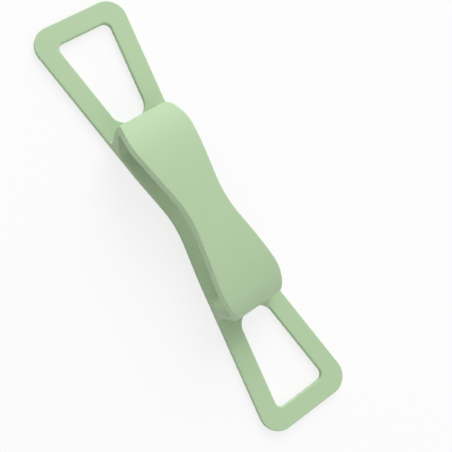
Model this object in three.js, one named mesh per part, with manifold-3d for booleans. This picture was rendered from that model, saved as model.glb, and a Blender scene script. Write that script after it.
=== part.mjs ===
// Silicone grip strap for an e-reader, moulded in one piece.
//
// A thin strap with a narrow waist lies flat on the back of the reader. Its two flared ends are
// open loops that stretch over the reader's edges. A thick band arches over the waist: fingers
// slide in from the side, between the strap and the band.
//
// Millimetres. X runs along the strap, Y across it and Z away from the reader.
// The origin is the middle of the underside, which lies on z = 0.

import * as THREE from 'three';
import { mergeVertices } from 'three/addons/utils/BufferGeometryUtils.js';
import Module from 'manifold-3d';

// Strap
const STRAP_LENGTH = 150;
const STRAP_THICKNESS = 2;
const WAIST_WIDTH = 14.2;
const END_WIDTH = 35;            // between the two flanks, drawn on to the very end
const FLANK_ANGLE = 7.75;        // degrees that each flank opens from the X axis
const WAIST_BLEND_LENGTH = 25;   // from the middle to where a flank runs straight
const CORNER_RADIUS = 6.5;
const EDGE_RADIUS = 0.3;         // soft edge all round the strap and the band

// End loops
const SIDE_BAR_WIDTH = 6.6;
const END_BAR_WIDTH = 6.7;
const LOOP_START_GAP = 0.5;      // between the band's reach and the opening
const LOOP_OUTER_RADIUS = 2.3;   // opening's corners at the end bar
const LOOP_INNER_RADIUS = 5.2;   // opening's corners next to the band

// Finger band, seen from the side
const BAND_LENGTH = 71.2;
const BAND_HEIGHT = 17.6;
const BAND_THICKNESS = 4;        // at the top of the arch
const NOSE_THICKNESS = 2.5;      // where the band turns down at each end
const NOSE_HEIGHT = 7.4;         // level of the band's widest reach
const OUTER_ARCH_FULLNESS = 3;   // 2 is an ellipse, more is squarer
const INNER_ARCH_FULLNESS = 2.5;
const OUTER_NOSE_RADIUS = 4;
const INNER_NOSE_RADIUS = 2;
const OUTER_LEG_LEAN = 41;       // degrees that a leg's outer face leans in towards its foot
const INNER_LEG_LEAN = 50;
const OUTER_FOOT_RADIUS = 0.6;
const INNER_FOOT_RADIUS = 3.5;

// Finger band, seen from above
const SHOULDER_START = 24;       // from the middle to where the band leaves the strap's outline
const SHOULDER_RADIUS = 19;
const FOOT_SPREAD_HEIGHT = 5;    // over which each leg spreads to the strap's full width

// Fineness of the curves
const BLEND_STEPS = 14;
const CORNER_STEPS = 9;
const EDGE_STEPS = 3;
const ARCH_STEPS = 22;
const NOSE_STEPS = 5;
const LEG_STEPS = 2;
const FOOT_STEPS = 6;

// Small overlaps that make the join of band and strap sound
const ROOT_SINK = 0.03;
const ROOT_DEPTH = 0.35;
const FLUSH_GAP = 0.01;

const SILICONE_GREEN = 0xb5d0a7;

const { degToRad } = THREE.MathUtils;
const halfLength = STRAP_LENGTH / 2;
const flankSlope = Math.tan(degToRad(FLANK_ANGLE));

function flankHalfWidth(x) {
  return END_WIDTH / 2 - flankSlope * (halfLength - x);
}

// The waist is a quartic that starts level at the middle and runs into the flank with the
// flank's slope and no bend left.
function strapHalfWidth(x) {
  const distance = Math.abs(x);
  if (distance >= WAIST_BLEND_LENGTH) return flankHalfWidth(distance);
  const q = distance / WAIST_BLEND_LENGTH;
  const rise = flankHalfWidth(WAIST_BLEND_LENGTH) - WAIST_WIDTH / 2;
  const run = flankSlope * WAIST_BLEND_LENGTH;
  const square = 6 * rise - 3 * run;
  const cube = 5 * run - 8 * rise;
  const fourth = 3 * rise - 2 * run;
  return WAIST_WIDTH / 2 + q * q * (square + q * (cube + q * fourth));
}

// The band follows the strap's outline and then rounds in on an arc that starts along the flank.
function bandHalfWidth(x) {
  const past = Math.abs(x) - SHOULDER_START;
  if (past <= 0) return strapHalfWidth(x);
  const startAngle = Math.atan(flankSlope);
  const reach = past - SHOULDER_RADIUS * Math.sin(startAngle);
  const drop = SHOULDER_RADIUS * Math.cos(startAngle) - Math.sqrt(SHOULDER_RADIUS ** 2 - reach ** 2);
  return strapHalfWidth(SHOULDER_START) - drop;
}

// Near the strap each leg spreads sideways on a hollow curve, out to the strap's edge.
function legHalfWidth(x, z) {
  const above = Math.max(z - STRAP_THICKNESS, 0);
  const share = Math.max(1 - above / FOOT_SPREAD_HEIGHT, 0) ** 2;
  const edge = strapHalfWidth(x) - FLUSH_GAP;
  return Math.min(THREE.MathUtils.lerp(bandHalfWidth(x), edge, share), edge);
}

function range(steps) {
  return Array.from({ length: steps + 1 }, (_, i) => i / steps);
}

function arcPoints(centre, radius, from, to, steps) {
  return range(steps).map((s) => {
    const angle = from + (to - from) * s;
    return new THREE.Vector2(centre.x + radius * Math.cos(angle), centre.y + radius * Math.sin(angle));
  });
}

// Points of an arc that rounds the corner between the lines to two neighbouring points.
function roundedCorner(corner, before, after, radius, steps) {
  const toBefore = before.clone().sub(corner).normalize();
  const toAfter = after.clone().sub(corner).normalize();
  const half = Math.acos(THREE.MathUtils.clamp(toBefore.dot(toAfter), -1, 1)) / 2;
  const middle = toBefore.clone().add(toAfter).normalize();
  const centre = corner.clone().addScaledVector(middle, radius / Math.sin(half));
  const tangent = radius / Math.tan(half);
  const start = corner.clone().addScaledVector(toBefore, tangent).sub(centre).angle();
  const end = corner.clone().addScaledVector(toAfter, tangent).sub(centre).angle();
  const turn = THREE.MathUtils.euclideanModulo(end - start + Math.PI, 2 * Math.PI) - Math.PI;
  return arcPoints(centre, radius, start, start + turn, steps);
}

function mirrored(points, signX, signY) {
  const copy = points.map((p) => new THREE.Vector2(signX * p.x, signY * p.y));
  return signX * signY < 0 ? copy.reverse() : copy;
}

// One quarter of the outline, from the middle of the waist to the end bar.
function outlineQuarter() {
  const waist = range(BLEND_STEPS).map((s) => {
    const x = WAIST_BLEND_LENGTH * s;
    return new THREE.Vector2(x, strapHalfWidth(x));
  });
  const corner = new THREE.Vector2(halfLength, END_WIDTH / 2);
  const endMiddle = new THREE.Vector2(halfLength, 0);
  const flankPoint = waist[waist.length - 1];
  return [...waist, ...roundedCorner(corner, flankPoint, endMiddle, CORNER_RADIUS, CORNER_STEPS)];
}

function strapOutline() {
  const quarter = outlineQuarter();
  const noWaistPoint = quarter.slice(1);
  return [
    ...mirrored(quarter, 1, 1).reverse(),
    ...mirrored(noWaistPoint, -1, 1).reverse(),
    ...mirrored(quarter, -1, -1).reverse(),
    ...mirrored(noWaistPoint, 1, -1).reverse(),
  ];
}

// The opening of an end loop: its sides run parallel to the flanks, one bar's width inside.
function loopOpening(side) {
  const inset = SIDE_BAR_WIDTH / Math.cos(degToRad(FLANK_ANGLE));
  const outerX = halfLength - END_BAR_WIDTH;
  const innerX = BAND_LENGTH / 2 + LOOP_START_GAP;
  const corners = [
    new THREE.Vector2(outerX, flankHalfWidth(outerX) - inset),
    new THREE.Vector2(innerX, flankHalfWidth(innerX) - inset),
    new THREE.Vector2(innerX, inset - flankHalfWidth(innerX)),
    new THREE.Vector2(outerX, inset - flankHalfWidth(outerX)),
  ];
  const radii = [LOOP_OUTER_RADIUS, LOOP_INNER_RADIUS, LOOP_INNER_RADIUS, LOOP_OUTER_RADIUS];
  const points = corners.flatMap((corner, i) => {
    const before = corners[(i + 3) % 4];
    const after = corners[(i + 1) % 4];
    return roundedCorner(corner, before, after, radii[i], CORNER_STEPS);
  });
  return mirrored(points, side, 1);
}

function strapGeometry() {
  const shape = new THREE.Shape(strapOutline());
  shape.holes = [-1, 1].map((side) => new THREE.Path(loopOpening(side)));
  const geometry = new THREE.ExtrudeGeometry(shape, {
    depth: STRAP_THICKNESS - 2 * EDGE_RADIUS,
    bevelThickness: EDGE_RADIUS,
    bevelSize: EDGE_RADIUS,
    bevelOffset: -EDGE_RADIUS,
    bevelSegments: EDGE_STEPS,
  });
  return geometry.translate(0, 0, EDGE_RADIUS);
}

// Half of one line of the band's side view, from the top of the arch to the foot: a
// superellipse over the arch, a small arc under the nose, the leaning leg and the foot's fillet.
// Points hold x and z. A positive flare spreads the foot outwards, a negative one inwards.
function sideLine({ reach, height, fullness, noseRadius, legLean, footRadius, flare }) {
  const power = 2 / fullness;
  const arch = range(ARCH_STEPS).map((s) => {
    const angle = (Math.PI / 2) * (1 - s);
    const x = reach * Math.max(Math.cos(angle), 0) ** power;
    const z = NOSE_HEIGHT + (height - NOSE_HEIGHT) * Math.max(Math.sin(angle), 0) ** power;
    return new THREE.Vector2(x, z);
  });
  const lean = degToRad(legLean);
  const noseCentre = new THREE.Vector2(reach - noseRadius, NOSE_HEIGHT);
  const nose = arcPoints(noseCentre, noseRadius, 0, -lean, NOSE_STEPS);
  const legTop = nose[nose.length - 1];
  const legDirection = new THREE.Vector2(-Math.sin(lean), -Math.cos(lean));
  const floor = STRAP_THICKNESS - ROOT_SINK;
  const footCorner = legTop.clone().addScaledVector(legDirection, (legTop.y - floor) / Math.cos(lean));
  const along = footCorner.clone().add(new THREE.Vector2(flare, 0));
  const foot = roundedCorner(footCorner, legTop, along, footRadius, FOOT_STEPS);
  const leg = range(LEG_STEPS).slice(1, -1).map((s) => legTop.clone().lerp(foot[0], s));
  return [...arch, ...nose.slice(1), ...leg, ...foot];
}

// Unit normals of a line of points, turned to the given side.
function lineNormals(points, side) {
  return points.map((_, i) => {
    const before = points[Math.max(i - 1, 0)];
    const after = points[Math.min(i + 1, points.length - 1)];
    const along = after.clone().sub(before).normalize();
    return new THREE.Vector2(-along.y, along.x).multiplyScalar(side);
  });
}

// The whole side view, from the left foot over the arch to the right foot.
function bandStations() {
  const outer = sideLine({
    reach: BAND_LENGTH / 2,
    height: BAND_HEIGHT,
    fullness: OUTER_ARCH_FULLNESS,
    noseRadius: OUTER_NOSE_RADIUS,
    legLean: OUTER_LEG_LEAN,
    footRadius: OUTER_FOOT_RADIUS,
    flare: 1,
  });
  const inner = sideLine({
    reach: BAND_LENGTH / 2 - NOSE_THICKNESS,
    height: BAND_HEIGHT - BAND_THICKNESS,
    fullness: INNER_ARCH_FULLNESS,
    noseRadius: INNER_NOSE_RADIUS,
    legLean: INNER_LEG_LEAN,
    footRadius: INNER_FOOT_RADIUS,
    flare: -1,
  });
  const mirrorLine = (line) => [...mirrored(line.slice(1), -1, 1), ...line];
  const outerLine = mirrorLine(outer);
  const innerLine = mirrorLine(inner);
  const outerNormals = lineNormals(outerLine, 1);
  const innerNormals = lineNormals(innerLine, -1);
  return outerLine.map((point, i) => ({
    outer: point,
    inner: innerLine[i],
    outerNormal: outerNormals[i],
    innerNormal: innerNormals[i],
  }));
}

// One rounded edge of the band at a station, from its side face to its broad face.
function edgePoints(point, normal, side) {
  const halfWidth = legHalfWidth(point.x, point.y);
  return range(EDGE_STEPS).map((s) => {
    const angle = (Math.PI / 2) * s;
    const sunk = EDGE_RADIUS * (1 - Math.sin(angle));
    const y = side * (halfWidth - EDGE_RADIUS * (1 - Math.cos(angle)));
    return new THREE.Vector3(point.x - normal.x * sunk, y, point.y - normal.y * sunk);
  });
}

function bandRing({ outer, inner, outerNormal, innerNormal }) {
  return [
    ...edgePoints(outer, outerNormal, -1),
    ...edgePoints(outer, outerNormal, 1).reverse(),
    ...edgePoints(inner, innerNormal, 1),
    ...edgePoints(inner, innerNormal, -1).reverse(),
  ];
}

// The end of a foot, sunk into the strap and drawn in from its edge.
function rootRing(ring) {
  const z = STRAP_THICKNESS - EDGE_RADIUS - ROOT_DEPTH;
  return ring.map((p) => new THREE.Vector3(p.x, p.y - Math.sign(p.y) * ROOT_DEPTH, z));
}

function bandGeometry() {
  const rings = bandStations().map(bandRing);
  rings.unshift(rootRing(rings[0]));
  rings.push(rootRing(rings[rings.length - 1]));
  const count = rings[0].length;
  const points = rings.flat();
  const index = [];
  for (let ring = 0; ring < rings.length - 1; ring += 1) {
    for (let i = 0; i < count; i += 1) {
      const a = ring * count + i;
      const b = ring * count + ((i + 1) % count);
      index.push(a, a + count, b, b, a + count, b + count);
    }
  }
  const last = (rings.length - 1) * count;
  for (let i = 1; i < count - 1; i += 1) {
    index.push(0, i, i + 1);
    index.push(last, last + i + 1, last + i);
  }
  const geometry = new THREE.BufferGeometry().setFromPoints(points);
  geometry.setIndex(index);
  return geometry;
}

const wasm = await Module();
wasm.setup();

function toSolid(geometry) {
  const bare = geometry.clone();
  bare.deleteAttribute('normal');
  bare.deleteAttribute('uv');
  const merged = mergeVertices(bare);
  return new wasm.Manifold(new wasm.Mesh({
    numProp: 3,
    vertProperties: new Float32Array(merged.attributes.position.array),
    triVerts: new Uint32Array(merged.index.array),
  }));
}

function toGeometry(solid) {
  const mesh = solid.getMesh();
  const geometry = new THREE.BufferGeometry();
  geometry.setAttribute('position', new THREE.BufferAttribute(new Float32Array(mesh.vertProperties), 3));
  geometry.setIndex(new THREE.BufferAttribute(new Uint32Array(mesh.triVerts), 1));
  geometry.computeVertexNormals();
  return geometry;
}

const silicone = new THREE.MeshStandardMaterial({
  color: SILICONE_GREEN,
  roughness: 0.62,
  metalness: 0,
});

const grip = new THREE.Mesh(
  toGeometry(toSolid(strapGeometry()).add(toSolid(bandGeometry()))),
  silicone,
);
grip.name = 'silicone_grip';

const group = new THREE.Group();
group.add(grip);

export default group;
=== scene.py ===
# %% [markdown]
# # A silicone grip strap for an e-reader
#
# The real thing is one soft moulding: a thin strap with a narrow waist, an open loop at each
# end that stretches over the reader, and a thick finger band that arches over the waist.
# This lesson builds it as one smooth shape with Geometry Nodes, gives it a matte silicone
# finish, and lights it like a catalogue photograph.
#
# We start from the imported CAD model. It is the frame: it fixes size, place and movement.

import math

import bpy
from mathutils import Matrix, Vector


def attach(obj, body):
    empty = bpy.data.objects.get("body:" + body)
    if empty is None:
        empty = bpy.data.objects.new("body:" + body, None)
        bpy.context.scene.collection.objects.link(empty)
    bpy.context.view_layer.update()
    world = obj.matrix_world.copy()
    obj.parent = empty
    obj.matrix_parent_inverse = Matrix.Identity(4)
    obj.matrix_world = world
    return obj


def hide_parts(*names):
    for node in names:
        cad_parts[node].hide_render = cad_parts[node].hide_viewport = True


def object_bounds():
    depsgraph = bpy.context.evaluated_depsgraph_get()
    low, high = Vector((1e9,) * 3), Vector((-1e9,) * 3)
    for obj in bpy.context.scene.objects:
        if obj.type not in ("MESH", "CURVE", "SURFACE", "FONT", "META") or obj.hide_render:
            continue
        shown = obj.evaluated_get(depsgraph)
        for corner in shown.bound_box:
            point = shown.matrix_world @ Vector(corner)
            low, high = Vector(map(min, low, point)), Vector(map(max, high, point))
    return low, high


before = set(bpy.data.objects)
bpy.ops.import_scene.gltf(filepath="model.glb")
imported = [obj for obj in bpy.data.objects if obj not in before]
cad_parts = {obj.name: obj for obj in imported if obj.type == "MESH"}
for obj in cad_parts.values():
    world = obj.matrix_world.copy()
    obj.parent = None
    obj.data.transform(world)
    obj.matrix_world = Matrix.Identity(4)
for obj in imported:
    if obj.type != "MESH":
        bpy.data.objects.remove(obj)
cad_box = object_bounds()
print("CAD nodes:", sorted(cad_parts))
print("CAD box in mm:", [[round(c * 1000, 2) for c in corner] for corner in cad_box])

# %% [markdown]
# ## The camera
#
# The photograph looks down on the strap from the near left, so the strap runs from the upper
# left to the lower right. Place and lens come from matching the strap's outline. We write the
# view as three directions, to the right, down and away from the camera, because a camera in
# Blender looks along its own minus Z axis with Y up.

# %% Camera
CAMERA_PLACE = Vector((-0.001418, -0.088525, 0.25206))
VIEW_RIGHT = Vector((0.5200, 0.7900, 0.3249))
VIEW_DOWN = Vector((0.8534, -0.4974, -0.1563))
CAMERA_LENS = 65.05

camera_data = bpy.data.cameras.new("photo_camera")
camera_data.lens = CAMERA_LENS
camera_data.sensor_width = 36
camera_data.clip_start = 0.01
camera = bpy.data.objects.new("photo_camera", camera_data)
bpy.context.scene.collection.objects.link(camera)
bpy.context.scene.camera = camera

view_away = VIEW_RIGHT.cross(VIEW_DOWN).normalized()
view_down = view_away.cross(VIEW_RIGHT).normalized()
view_right = view_down.cross(view_away)
turn = Matrix((view_right, -view_down, -view_away)).transposed()
camera.matrix_world = Matrix.Translation(CAMERA_PLACE) @ turn.to_4x4()
print("Camera looks along", [round(c, 3) for c in view_away])

# %% [markdown]
# ## The sizes
#
# Every size of the grip gets a name. They become the named inputs of the Geometry Nodes
# tree, so the strap can be made longer or the band higher in the modifier's panel. All are in
# millimetres, apart from the angles and the two fullness numbers of the arch.

# %% Sizes of the grip
GRIP_SIZES = {
    "Strap length": 150,
    "Strap thickness": 2,
    "Waist width": 14.2,
    "End width": 35,
    "Flank angle": math.radians(7.75),
    "Waist blend length": 25,
    "Corner radius": 6.5,
    "Edge radius": 0.3,
    "Side bar width": 6.6,
    "End bar width": 6.7,
    "Loop start gap": 0.5,
    "Loop outer radius": 2.3,
    "Loop inner radius": 5.2,
    "Band length": 71.2,
    "Band height": 17.6,
    "Band thickness": 4,
    "Nose thickness": 2.5,
    "Nose height": 7.4,
    "Outer arch fullness": 3,
    "Inner arch fullness": 2.5,
    "Outer nose radius": 4,
    "Inner nose radius": 2,
    "Outer leg lean": math.radians(41),
    "Inner leg lean": math.radians(50),
    "Outer foot radius": 0.6,
    "Inner foot radius": 3.5,
    "Shoulder start": 24,
    "Shoulder radius": 19,
    "Foot spread height": 5,
}
print("Named sizes:", len(GRIP_SIZES))

# %% [markdown]
# ## Writing formulas as nodes
#
# The grip has no flat sheet to start from, but it follows a rule: at each point in space a
# formula can say how far the silicone's skin is. Typing such a formula with Math nodes by hand
# takes long, so this small class lets us write it like ordinary arithmetic. Each sign adds one
# Math node to the tree.

# %% Formula shorthand
class Formula:
    """A node socket that can be used like a number."""

    def __init__(self, tree, socket):
        self.tree = tree
        self.socket = socket

    def math(self, operation, *others):
        node = self.tree.nodes.new("ShaderNodeMath")
        node.operation = operation
        for slot, value in zip(node.inputs, (self, *others)):
            if isinstance(value, Formula):
                self.tree.links.new(value.socket, slot)
            else:
                slot.default_value = value
        return Formula(self.tree, node.outputs[0])

    def __add__(self, other):
        return self.math("ADD", other)

    def __sub__(self, other):
        return self.math("SUBTRACT", other)

    def __rsub__(self, other):
        return self.math("MULTIPLY_ADD", -1, other)

    def __mul__(self, other):
        return self.math("MULTIPLY", other)

    def __truediv__(self, other):
        return self.math("DIVIDE", other)

    def __rtruediv__(self, other):
        return self.math("POWER", -1) * other

    def __pow__(self, other):
        return self.math("POWER", other)

    def __neg__(self):
        return self.math("MULTIPLY", -1)


def larger(a, b):
    return a.math("MAXIMUM", b)


def smaller(a, b):
    return a.math("MINIMUM", b)


print("Formula signs ready")

# %% [markdown]
# ## One rounding rule for every edge
#
# Corners of the strap, corners of the loops, the nose of the band and the soft edge all round
# are the same thing: two faces that meet on an arc. Given the distances to the two faces, this
# rule returns the distance to the rounded shape. `lean` is the cosine between the directions
# that the faces look in, which is 0 for a square corner. Turned inside out, the same rule
# makes the hollow fillet at a foot.

# %% Rounded corner rule
def rounded(face_a, face_b, radius, lean):
    a = face_a + radius
    b = face_b + radius
    spread = 1 - lean * lean
    along_a = (a - b * lean) / spread
    along_b = (b - a * lean) / spread
    square = along_a * along_a + along_b * along_b + along_a * along_b * lean * 2
    on_arc = smaller(along_a, along_b).math("GREATER_THAN", 0)
    arc = larger(square, 0).math("SQRT")
    flat = larger(a, b)
    return flat + on_arc * (arc - flat) - radius


print("Rounding rule ready")

# %% [markdown]
# ## Seen from above
#
# The strap's half width is a quartic over the waist that runs without a kink into straight
# flanks. The band follows it and rounds in at its shoulders. Near the strap each leg spreads
# back to the full width on a hollow curve. The loops are openings whose sides run parallel to
# the flanks.

# %% Rules of the plan view
def strap_half_width(x, size):
    slope = size["Flank angle"].math("TANGENT")
    blend = size["Waist blend length"]
    half_length = size["Strap length"] / 2
    rise = size["End width"] / 2 - slope * (half_length - blend) - size["Waist width"] / 2
    run = slope * blend
    q = smaller(x / blend, 1)
    quartic = rise * 6 - run * 3 + q * (run * 5 - rise * 8 + q * (rise * 3 - run * 2))
    return size["Waist width"] / 2 + q * q * quartic + slope * larger(x - blend, 0)


def grip_half_width(x, z, size):
    strap = strap_half_width(x, size)
    past = larger(x - size["Shoulder start"], 0)
    shoulder = strap - past * past / (size["Shoulder radius"] * 2)
    above = larger(z - size["Strap thickness"], 0)
    share = larger(1 - above / size["Foot spread height"], 0)
    return shoulder + (strap - shoulder) * share * share


def loop_opening(x, y, size):
    sine = size["Flank angle"].math("SINE")
    cosine = size["Flank angle"].math("COSINE")
    side = (y - strap_half_width(x, size)) * cosine + size["Side bar width"]
    outer_end = x - (size["Strap length"] / 2 - size["End bar width"])
    inner_end = size["Band length"] / 2 + size["Loop start gap"] - x
    return larger(
        rounded(side, outer_end, size["Loop outer radius"], -sine),
        rounded(side, inner_end, size["Loop inner radius"], sine),
    )


def plan_distance(x, y, z, size):
    sine = size["Flank angle"].math("SINE")
    cosine = size["Flank angle"].math("COSINE")
    flank = (y - grip_half_width(x, z, size)) * cosine
    end = x - size["Strap length"] / 2
    outline = rounded(flank, end, size["Corner radius"], -sine)
    return larger(outline, -loop_opening(x, y, size))


print("Plan rules ready")

# %% [markdown]
# ## Seen from the side
#
# Both lines of the band are superellipses, rounder than a box and squarer than an ellipse.
# Under the nose each turns on a small arc into a leg that leans inwards. The material lies
# below the outer line or below the strap's top, and outside the finger opening. Two least
# values keep the formula from dividing by nothing at the middle of the strap.

# %% Rules of the side view
LEAST_ARCH_SIZE = 0.001
LEAST_STEEPNESS = 0.01


def arch_line(x, z, reach, height, fullness, nose_radius, leg_lean, nose_height):
    u = x / reach
    v = larger(z - nose_height, 0) / (height - nose_height)
    size_of_arch = larger((u ** fullness + v ** fullness) ** (1 / fullness), LEAST_ARCH_SIZE)
    slope_x = (u / size_of_arch) ** (fullness - 1) / reach
    slope_z = (v / size_of_arch) ** (fullness - 1) / (height - nose_height)
    steepness = larger((slope_x * slope_x + slope_z * slope_z).math("SQRT"), LEAST_STEEPNESS)
    arch = (size_of_arch - 1) / steepness
    sine = leg_lean.math("SINE")
    cosine = leg_lean.math("COSINE")
    leg = (x - reach + nose_radius) * cosine - (z - nose_height) * sine - nose_radius
    return larger(arch, rounded(x - reach, leg, nose_radius, cosine))


def side_distance(x, z, size):
    top = size["Strap thickness"]
    outer = arch_line(
        x, z, size["Band length"] / 2, size["Band height"], size["Outer arch fullness"],
        size["Outer nose radius"], size["Outer leg lean"], size["Nose height"],
    )
    inner = arch_line(
        x, z, size["Band length"] / 2 - size["Nose thickness"],
        size["Band height"] - size["Band thickness"], size["Inner arch fullness"],
        size["Inner nose radius"], size["Inner leg lean"], size["Nose height"],
    )
    outer_foot = -size["Outer leg lean"].math("SINE")
    inner_foot = size["Inner leg lean"].math("SINE")
    body = -rounded(top - z, -outer, size["Outer foot radius"], outer_foot)
    opening = rounded(inner, top - z, size["Inner foot radius"], inner_foot)
    return larger(larger(body, -opening), -z)


print("Side rules ready")

# %% [markdown]
# ## The distance as a node group
#
# The two views meet in one number: the distance to the skin, with the soft edge all round as
# the last rounding. It goes into a node group of its own, because the next tree asks for it
# at many places. The grip is the same on both sides, so only the positive X and Y are worked
# out.

# %% Node group: distance to the silicone's skin
def new_tree(name, sizes, point_input):
    tree = bpy.data.node_groups.new(name, "GeometryNodeTree")
    if point_input:
        tree.interface.new_socket("Point", in_out="INPUT", socket_type="NodeSocketVector")
    for size_name, value in sizes.items():
        socket = tree.interface.new_socket(size_name, in_out="INPUT", socket_type="NodeSocketFloat")
        socket.default_value = value
    return tree


skin_tree = new_tree("Distance to the skin", GRIP_SIZES, True)
skin_tree.interface.new_socket("Distance", in_out="OUTPUT", socket_type="NodeSocketFloat")
given = skin_tree.nodes.new("NodeGroupInput")
split = skin_tree.nodes.new("ShaderNodeSeparateXYZ")
skin_tree.links.new(given.outputs["Point"], split.inputs[0])
size = {name: Formula(skin_tree, given.outputs[name]) for name in GRIP_SIZES}
along, across, up = (Formula(skin_tree, socket) for socket in split.outputs)
along = along.math("ABSOLUTE")
across = across.math("ABSOLUTE")

SQUARE_CORNER = 0.0

skin = rounded(
    side_distance(along, up, size),
    plan_distance(along, across, up, size),
    size["Edge radius"],
    SQUARE_CORNER,
)
skin_out = skin_tree.nodes.new("NodeGroupOutput")
skin_tree.links.new(skin.socket, skin_out.inputs["Distance"])
print("Math nodes in the distance group:", len(skin_tree.nodes))

# %% [markdown]
# ## From distance to mesh
#
# A block of fine cells is filled with the distance, and Volume to Mesh draws a skin where it
# is zero. The tree for that gets the same named sizes, and passes them on to every copy of the
# distance group. First come two helpers: one adds a node, the other asks for the distance at
# a point.

# %% Node group: the grip's inputs
grip_tree = new_tree("Grip moulding", GRIP_SIZES, False)
grip_tree.interface.new_socket("Finish", in_out="INPUT", socket_type="NodeSocketMaterial")
grip_tree.interface.new_socket("Geometry", in_out="OUTPUT", socket_type="NodeSocketGeometry")
grip_in = grip_tree.nodes.new("NodeGroupInput")


def node(kind, links=(), **settings):
    """Adds one node to the grip's tree; links are pairs of an input and what feeds it."""
    made = grip_tree.nodes.new(kind)
    for name, value in settings.items():
        setattr(made, name, value)
    for slot, source in links:
        if isinstance(source, bpy.types.NodeSocket):
            grip_tree.links.new(source, made.inputs[slot])
        else:
            made.inputs[slot].default_value = source
    return made


def skin_at(point):
    group = node("GeometryNodeGroup", node_tree=skin_tree)
    grip_tree.links.new(point, group.inputs["Point"])
    for name in GRIP_SIZES:
        grip_tree.links.new(grip_in.outputs[name], group.inputs[name])
    return Formula(grip_tree, group.outputs["Distance"])


print("Inputs of the grip's tree:", len(grip_in.outputs) - 1)

# %% [markdown]
# The points of the drawn skin lie a little off. Each one has to move against the slope of the
# distance, which we measure with three small steps along X, Y and Z. Blur Attribute evens out
# the spacing in between, so the faces stay regular.

# %% Pulling points to the skin
SLOPE_STEP = 0.02
LEAST_SQUARE = 0.2


def slope_at(point, distance):
    slopes = []
    for axis in range(3):
        step = [SLOPE_STEP if i == axis else 0 for i in range(3)]
        beside = node("ShaderNodeVectorMath", [(0, point), (1, step)], operation="ADD")
        slopes.append((skin_at(beside.outputs[0]) - distance) / SLOPE_STEP)
    return node("ShaderNodeCombineXYZ", [(i, s.socket) for i, s in enumerate(slopes)]).outputs[0]


def pulled_to_skin(mesh):
    """Moves every point along the slope of the distance until it lies on the skin."""
    here = node("GeometryNodeInputPosition").outputs[0]
    distance = skin_at(here)
    slope = slope_at(here, distance)
    square = node("ShaderNodeVectorMath", [(0, slope), (1, slope)], operation="DOT_PRODUCT")
    share = -distance / larger(Formula(grip_tree, square.outputs["Value"]), LEAST_SQUARE)
    move = node("ShaderNodeVectorMath", [(0, slope), ("Scale", share.socket)], operation="SCALE")
    return node("GeometryNodeSetPosition", [(0, mesh), ("Offset", move.outputs[0])]).outputs[0]


def relaxed(mesh, blurs):
    here = node("GeometryNodeInputPosition").outputs[0]
    blur = node(
        "GeometryNodeBlurAttribute",
        [("Value", here), ("Iterations", blurs)],
        data_type="FLOAT_VECTOR",
    )
    return node("GeometryNodeSetPosition", [(0, mesh), ("Position", blur.outputs[0])]).outputs[0]


print("Step for the slope:", SLOPE_STEP, "mm")

# %% [markdown]
# Now the block itself. It is a little larger than the CAD box all round. Cells of about a
# third of a millimetre keep the mesh light enough, and three rounds of relaxing and pulling
# put every point on the skin.

# %% The skin drawn from the block
CELL = 0.34
MARGIN = 1.2
MILLIMETRE = 0.001
ROUNDS = 3
BLURS_PER_ROUND = 2

low = [c / MILLIMETRE - MARGIN for c in cad_box[0]]
high = [c / MILLIMETRE + MARGIN for c in cad_box[1]]
cells = [round((b - a) / CELL) for a, b in zip(low, high)]
inside = -skin_at(node("GeometryNodeInputPosition").outputs[0])
block = node(
    "GeometryNodeVolumeCube",
    [("Density", inside.socket), ("Background", -MARGIN), ("Min", low), ("Max", high)]
    + [(f"Resolution {axis}", count) for axis, count in zip("XYZ", cells)],
)
drawn = node("GeometryNodeVolumeToMesh", [("Volume", block.outputs[0]), ("Threshold", 0.0)])
mesh = pulled_to_skin(drawn.outputs[0])
for _ in range(ROUNDS):
    mesh = pulled_to_skin(relaxed(mesh, BLURS_PER_ROUND))
mesh = pulled_to_skin(mesh)
print("Cells in the block:", cells)

# %% [markdown]
# The soft edge is about as wide as one cell, too narrow for shading that only averages the
# faces around a point. The slope of the distance is the true direction of the skin, so it
# becomes the normal of each point. Then the mesh goes from millimetres to metres and takes its
# finish.

# %% Normals, scale and finish
here = node("GeometryNodeInputPosition").outputs[0]
true_normal = slope_at(here, skin_at(here))
smooth = node("GeometryNodeSetShadeSmooth", [("Geometry", mesh)])
shaded = node(
    "GeometryNodeSetMeshNormal",
    [("Mesh", smooth.outputs[0]), ("Custom Normal", true_normal)],
    mode="FREE", domain="POINT",
)
scaled = node(
    "GeometryNodeTransform", [("Geometry", shaded.outputs[0]), ("Scale", [MILLIMETRE] * 3)]
)
realized = node("GeometryNodeRealizeInstances", [("Geometry", scaled.outputs[0])])
finished = node(
    "GeometryNodeSetMaterial",
    [("Geometry", realized.outputs[0]), ("Material", grip_in.outputs["Finish"])],
)
grip_out = grip_tree.nodes.new("NodeGroupOutput")
grip_tree.links.new(finished.outputs[0], grip_out.inputs["Geometry"])
print("Nodes in the grip's tree:", len(grip_tree.nodes))

# %% [markdown]
# ## The silicone finish
#
# Moulded silicone is matte and a little waxy: light goes a short way in before it comes back,
# and the skin has a very fine tooth from the mould. So the shader gets a pale green colour
# with a faint cloudiness, a broad soft shine, a touch of light under the surface, and a small
# bump from two noises, one for the tooth and one for the slight unevenness of a soft part.

# %% Material: matte silicone
SILICONE_PALE = (0.448, 0.610, 0.378, 1)
SILICONE_DEEP = (0.434, 0.596, 0.364, 1)


def noise(nodes, links, place, scale, detail):
    made = nodes.new("ShaderNodeTexNoise")
    made.inputs["Scale"].default_value = scale
    made.inputs["Detail"].default_value = detail
    links.new(place, made.inputs["Vector"])
    return made.outputs[0]


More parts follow.
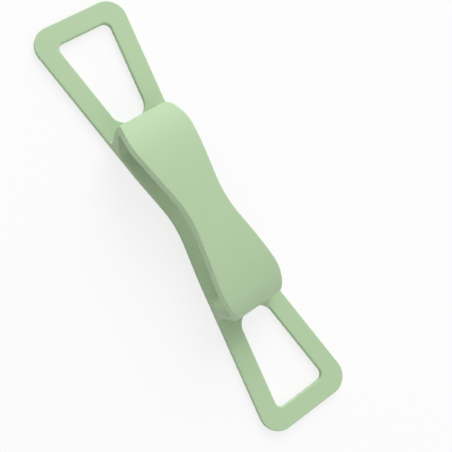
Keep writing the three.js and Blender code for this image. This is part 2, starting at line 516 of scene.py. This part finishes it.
silicone = bpy.data.materials.new("matte_silicone")
silicone.use_nodes = True
nodes, links = silicone.node_tree.nodes, silicone.node_tree.links
shader = nodes["Principled BSDF"]
shader.inputs["Roughness"].default_value = 0.5
shader.inputs["IOR"].default_value = 1.43
shader.inputs["Subsurface Weight"].default_value = 0.12
shader.inputs["Subsurface Radius"].default_value = (1.0, 1.0, 0.8)
shader.inputs["Subsurface Scale"].default_value = 0.0015
shader.inputs["Sheen Weight"].default_value = 0.15
shader.inputs["Sheen Roughness"].default_value = 0.5

place = nodes.new("ShaderNodeTexCoord").outputs["Object"]
cloud = noise(nodes, links, place, scale=45, detail=3)
colour = nodes.new("ShaderNodeMix")
colour.data_type = "RGBA"
colour.inputs["A"].default_value = SILICONE_DEEP
colour.inputs["B"].default_value = SILICONE_PALE
links.new(cloud, colour.inputs["Factor"])
print("Silicone colour:", SILICONE_PALE[:3])

# %% [markdown]
# Inside the finger opening light bounces between green walls and comes out greener than the real
# part looks, so the silicone there gets a painted tint a little greyer: colour that stands in for
# whiter bounced light, not a colour of the silicone. The inner arch's own rule tells which points
# lie inside, so the painted tint follows the opening when the sizes change. Only positions on the
# object are used.

# %% Painted tint inside the opening, standing in for bounced light
PAINTED_BOUNCE_TINT = (1.08, 1.0, 1.10, 1)
PAINTED_TINT_REACH = 1.02

split = nodes.new("ShaderNodeSeparateXYZ")
links.new(place, split.inputs[0])
along, _, up = (Formula(silicone.node_tree, socket) * (1 / MILLIMETRE) for socket in split.outputs)
opening_reach = GRIP_SIZES["Band length"] / 2 - GRIP_SIZES["Nose thickness"]
opening_rise = GRIP_SIZES["Band height"] - GRIP_SIZES["Band thickness"] - GRIP_SIZES["Nose height"]
fullness = GRIP_SIZES["Inner arch fullness"]
u = along.math("ABSOLUTE") / opening_reach
v = larger(up - GRIP_SIZES["Nose height"], 0) / opening_rise
under_arch = (u ** fullness + v ** fullness).math("LESS_THAN", PAINTED_TINT_REACH)
on_strap = (up + GRIP_SIZES["Edge radius"]).math("GREATER_THAN", GRIP_SIZES["Strap thickness"])
# Painted tint: a greyer colour standing in for whiter bounced light inside the opening
painted_bounce_mix = nodes.new("ShaderNodeMix")
painted_bounce_mix.data_type = "RGBA"
painted_bounce_mix.blend_type = "MULTIPLY"
painted_bounce_mix.inputs["B"].default_value = PAINTED_BOUNCE_TINT
links.new((under_arch * on_strap).socket, painted_bounce_mix.inputs["Factor"])
links.new(colour.outputs["Result"], painted_bounce_mix.inputs["A"])
links.new(painted_bounce_mix.outputs["Result"], shader.inputs["Base Color"])
print("Opening inside:", round(opening_reach * 2, 1), "mm long")

# %% [markdown]
# A bump's distance is its height in metres. The strength cuts it to a quarter: waves of less
# than a tenth of a millimetre, and a tooth of a few thousandths.

# %% Skin of the silicone
def bump(height, strength, distance, normal=None):
    made = nodes.new("ShaderNodeBump")
    made.inputs["Strength"].default_value = strength
    made.inputs["Distance"].default_value = distance
    links.new(height, made.inputs["Height"])
    if normal:
        links.new(normal, made.inputs["Normal"])
    return made.outputs[0]


waves = noise(nodes, links, place, scale=90, detail=2)
uneven = bump(waves, strength=0.25, distance=0.0003)
grain = noise(nodes, links, place, scale=3500, detail=2)
tooth = bump(grain, strength=0.25, distance=0.00002, normal=uneven)
links.new(tooth, shader.inputs["Normal"])
print("Bump layers: 2")

# %% [markdown]
# ## Making the grip
#
# The tree sits on an empty mesh. Its inputs are set by their identifiers before anything is
# evaluated, and then the result is frozen to a plain mesh.

# %% Grip
def input_id(tree, name):
    for item in tree.interface.items_tree:
        if item.name == name and item.in_out == "INPUT":
            return item.identifier
    raise KeyError(name)


maker = bpy.data.objects.new("grip_maker", bpy.data.meshes.new("grip_maker"))
bpy.context.scene.collection.objects.link(maker)
recipe = maker.modifiers.new("Grip", "NODES")
recipe.node_group = grip_tree
for size_name, value in GRIP_SIZES.items():
    recipe[input_id(grip_tree, size_name)] = float(value)
recipe[input_id(grip_tree, "Finish")] = silicone

depsgraph = bpy.context.evaluated_depsgraph_get()
grip_mesh = bpy.data.meshes.new_from_object(maker.evaluated_get(depsgraph))
grip_mesh.name = "grip_moulding"
bpy.data.objects.remove(maker)
grip = bpy.data.objects.new("grip_moulding", grip_mesh)
bpy.context.scene.collection.objects.link(grip)
print("Grip faces:", len(grip_mesh.polygons), "points:", len(grip_mesh.vertices))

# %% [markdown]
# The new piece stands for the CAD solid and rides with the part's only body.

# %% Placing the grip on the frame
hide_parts("silicone_grip")
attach(grip, "root")
print("Grip stands for:", "silicone_grip")

# %% [markdown]
# ## Floor and light
#
# The photograph shows the grip on plain white. A pale floor catches its soft shadow. Seen
# directly by the camera, most of the floor's white is its own, so it stays clean without
# more light on the grip.

# %% Floor
FLOOR_REACH = 3.0
FLOOR_OWN_WHITE = 0.75
PAPER_WHITE = 0.9

floor_mesh = bpy.data.meshes.new("pale_floor")
corners = [(x * FLOOR_REACH, y * FLOOR_REACH, 0) for x, y in ((-1, -1), (1, -1), (1, 1), (-1, 1))]
floor_mesh.from_pydata(corners, [], [(0, 1, 2, 3)])
floor = bpy.data.objects.new("pale_floor", floor_mesh)
bpy.context.scene.collection.objects.link(floor)

paper = bpy.data.materials.new("pale_paper")
paper.use_nodes = True
nodes, links = paper.node_tree.nodes, paper.node_tree.links
paper_shader = nodes["Principled BSDF"]
paper_shader.inputs["Base Color"].default_value = (PAPER_WHITE, PAPER_WHITE, PAPER_WHITE, 1)
paper_shader.inputs["Roughness"].default_value = 0.9
paper_shader.inputs["Specular IOR Level"].default_value = 0.1
glow = nodes.new("ShaderNodeEmission")
rays = nodes.new("ShaderNodeLightPath")
share = nodes.new("ShaderNodeMath")
share.operation = "MULTIPLY"
share.inputs[1].default_value = FLOOR_OWN_WHITE
links.new(rays.outputs["Is Camera Ray"], share.inputs[0])
mix = nodes.new("ShaderNodeMixShader")
links.new(share.outputs[0], mix.inputs[0])
links.new(paper_shader.outputs[0], mix.inputs[1])
links.new(glow.outputs[0], mix.inputs[2])
links.new(mix.outputs[0], nodes["Material Output"].inputs["Surface"])
floor_mesh.materials.append(paper)
print("Floor reaches", FLOOR_REACH, "m")

# %% [markdown]
# The main light is one tall soft panel beside the strap's left end and a little to its far
# side, so the band's left shoulder is brightest and the strap behind the right nose lies in
# soft shade. A small panel on the right keeps the right nose from going flat. A pale room all
# round gives the rest, and looks white where the camera sees past the floor.

# %% Lights
ROOM_STRENGTH = 0.523
PANEL_DISTANCE = 2.0


def soft_panel(name, azimuth, elevation, width, height, watts):
    """A lamp that faces the middle of the grip; azimuth 0 is on +X and 90 on +Y, in degrees."""
    data = bpy.data.lights.new(name, "AREA")
    data.shape = "RECTANGLE"
    data.size = width
    data.size_y = height
    data.energy = watts
    panel = bpy.data.objects.new(name, data)
    bpy.context.scene.collection.objects.link(panel)
    turn = Matrix.Rotation(math.radians(azimuth), 3, "Z")
    towards = turn @ Matrix.Rotation(math.radians(-elevation), 3, "Y") @ Vector((1, 0, 0))
    facing = (-towards).to_track_quat("-Z", "Y").to_matrix().to_4x4()
    panel.matrix_world = Matrix.Translation(towards * PANEL_DISTANCE) @ facing


soft_panel("key_panel", azimuth=135, elevation=27, width=1.46, height=1.9, watts=40)
soft_panel("right_panel", azimuth=0, elevation=40, width=1.3, height=1.3, watts=7)

world = bpy.data.worlds.new("pale_room")
world.use_nodes = True
nodes, links = world.node_tree.nodes, world.node_tree.links
background = nodes["Background"]
background.inputs["Color"].default_value = (1, 1, 1, 1)
rays = nodes.new("ShaderNodeLightPath")
strength = nodes.new("ShaderNodeMapRange")
strength.inputs["To Min"].default_value = ROOM_STRENGTH
strength.inputs["To Max"].default_value = 1.0
links.new(rays.outputs["Is Camera Ray"], strength.inputs["Value"])
links.new(strength.outputs[0], background.inputs["Strength"])
bpy.context.scene.world = world
bpy.context.scene.view_settings.view_transform = "Standard"
print("Two panels and a room of strength", ROOM_STRENGTH)
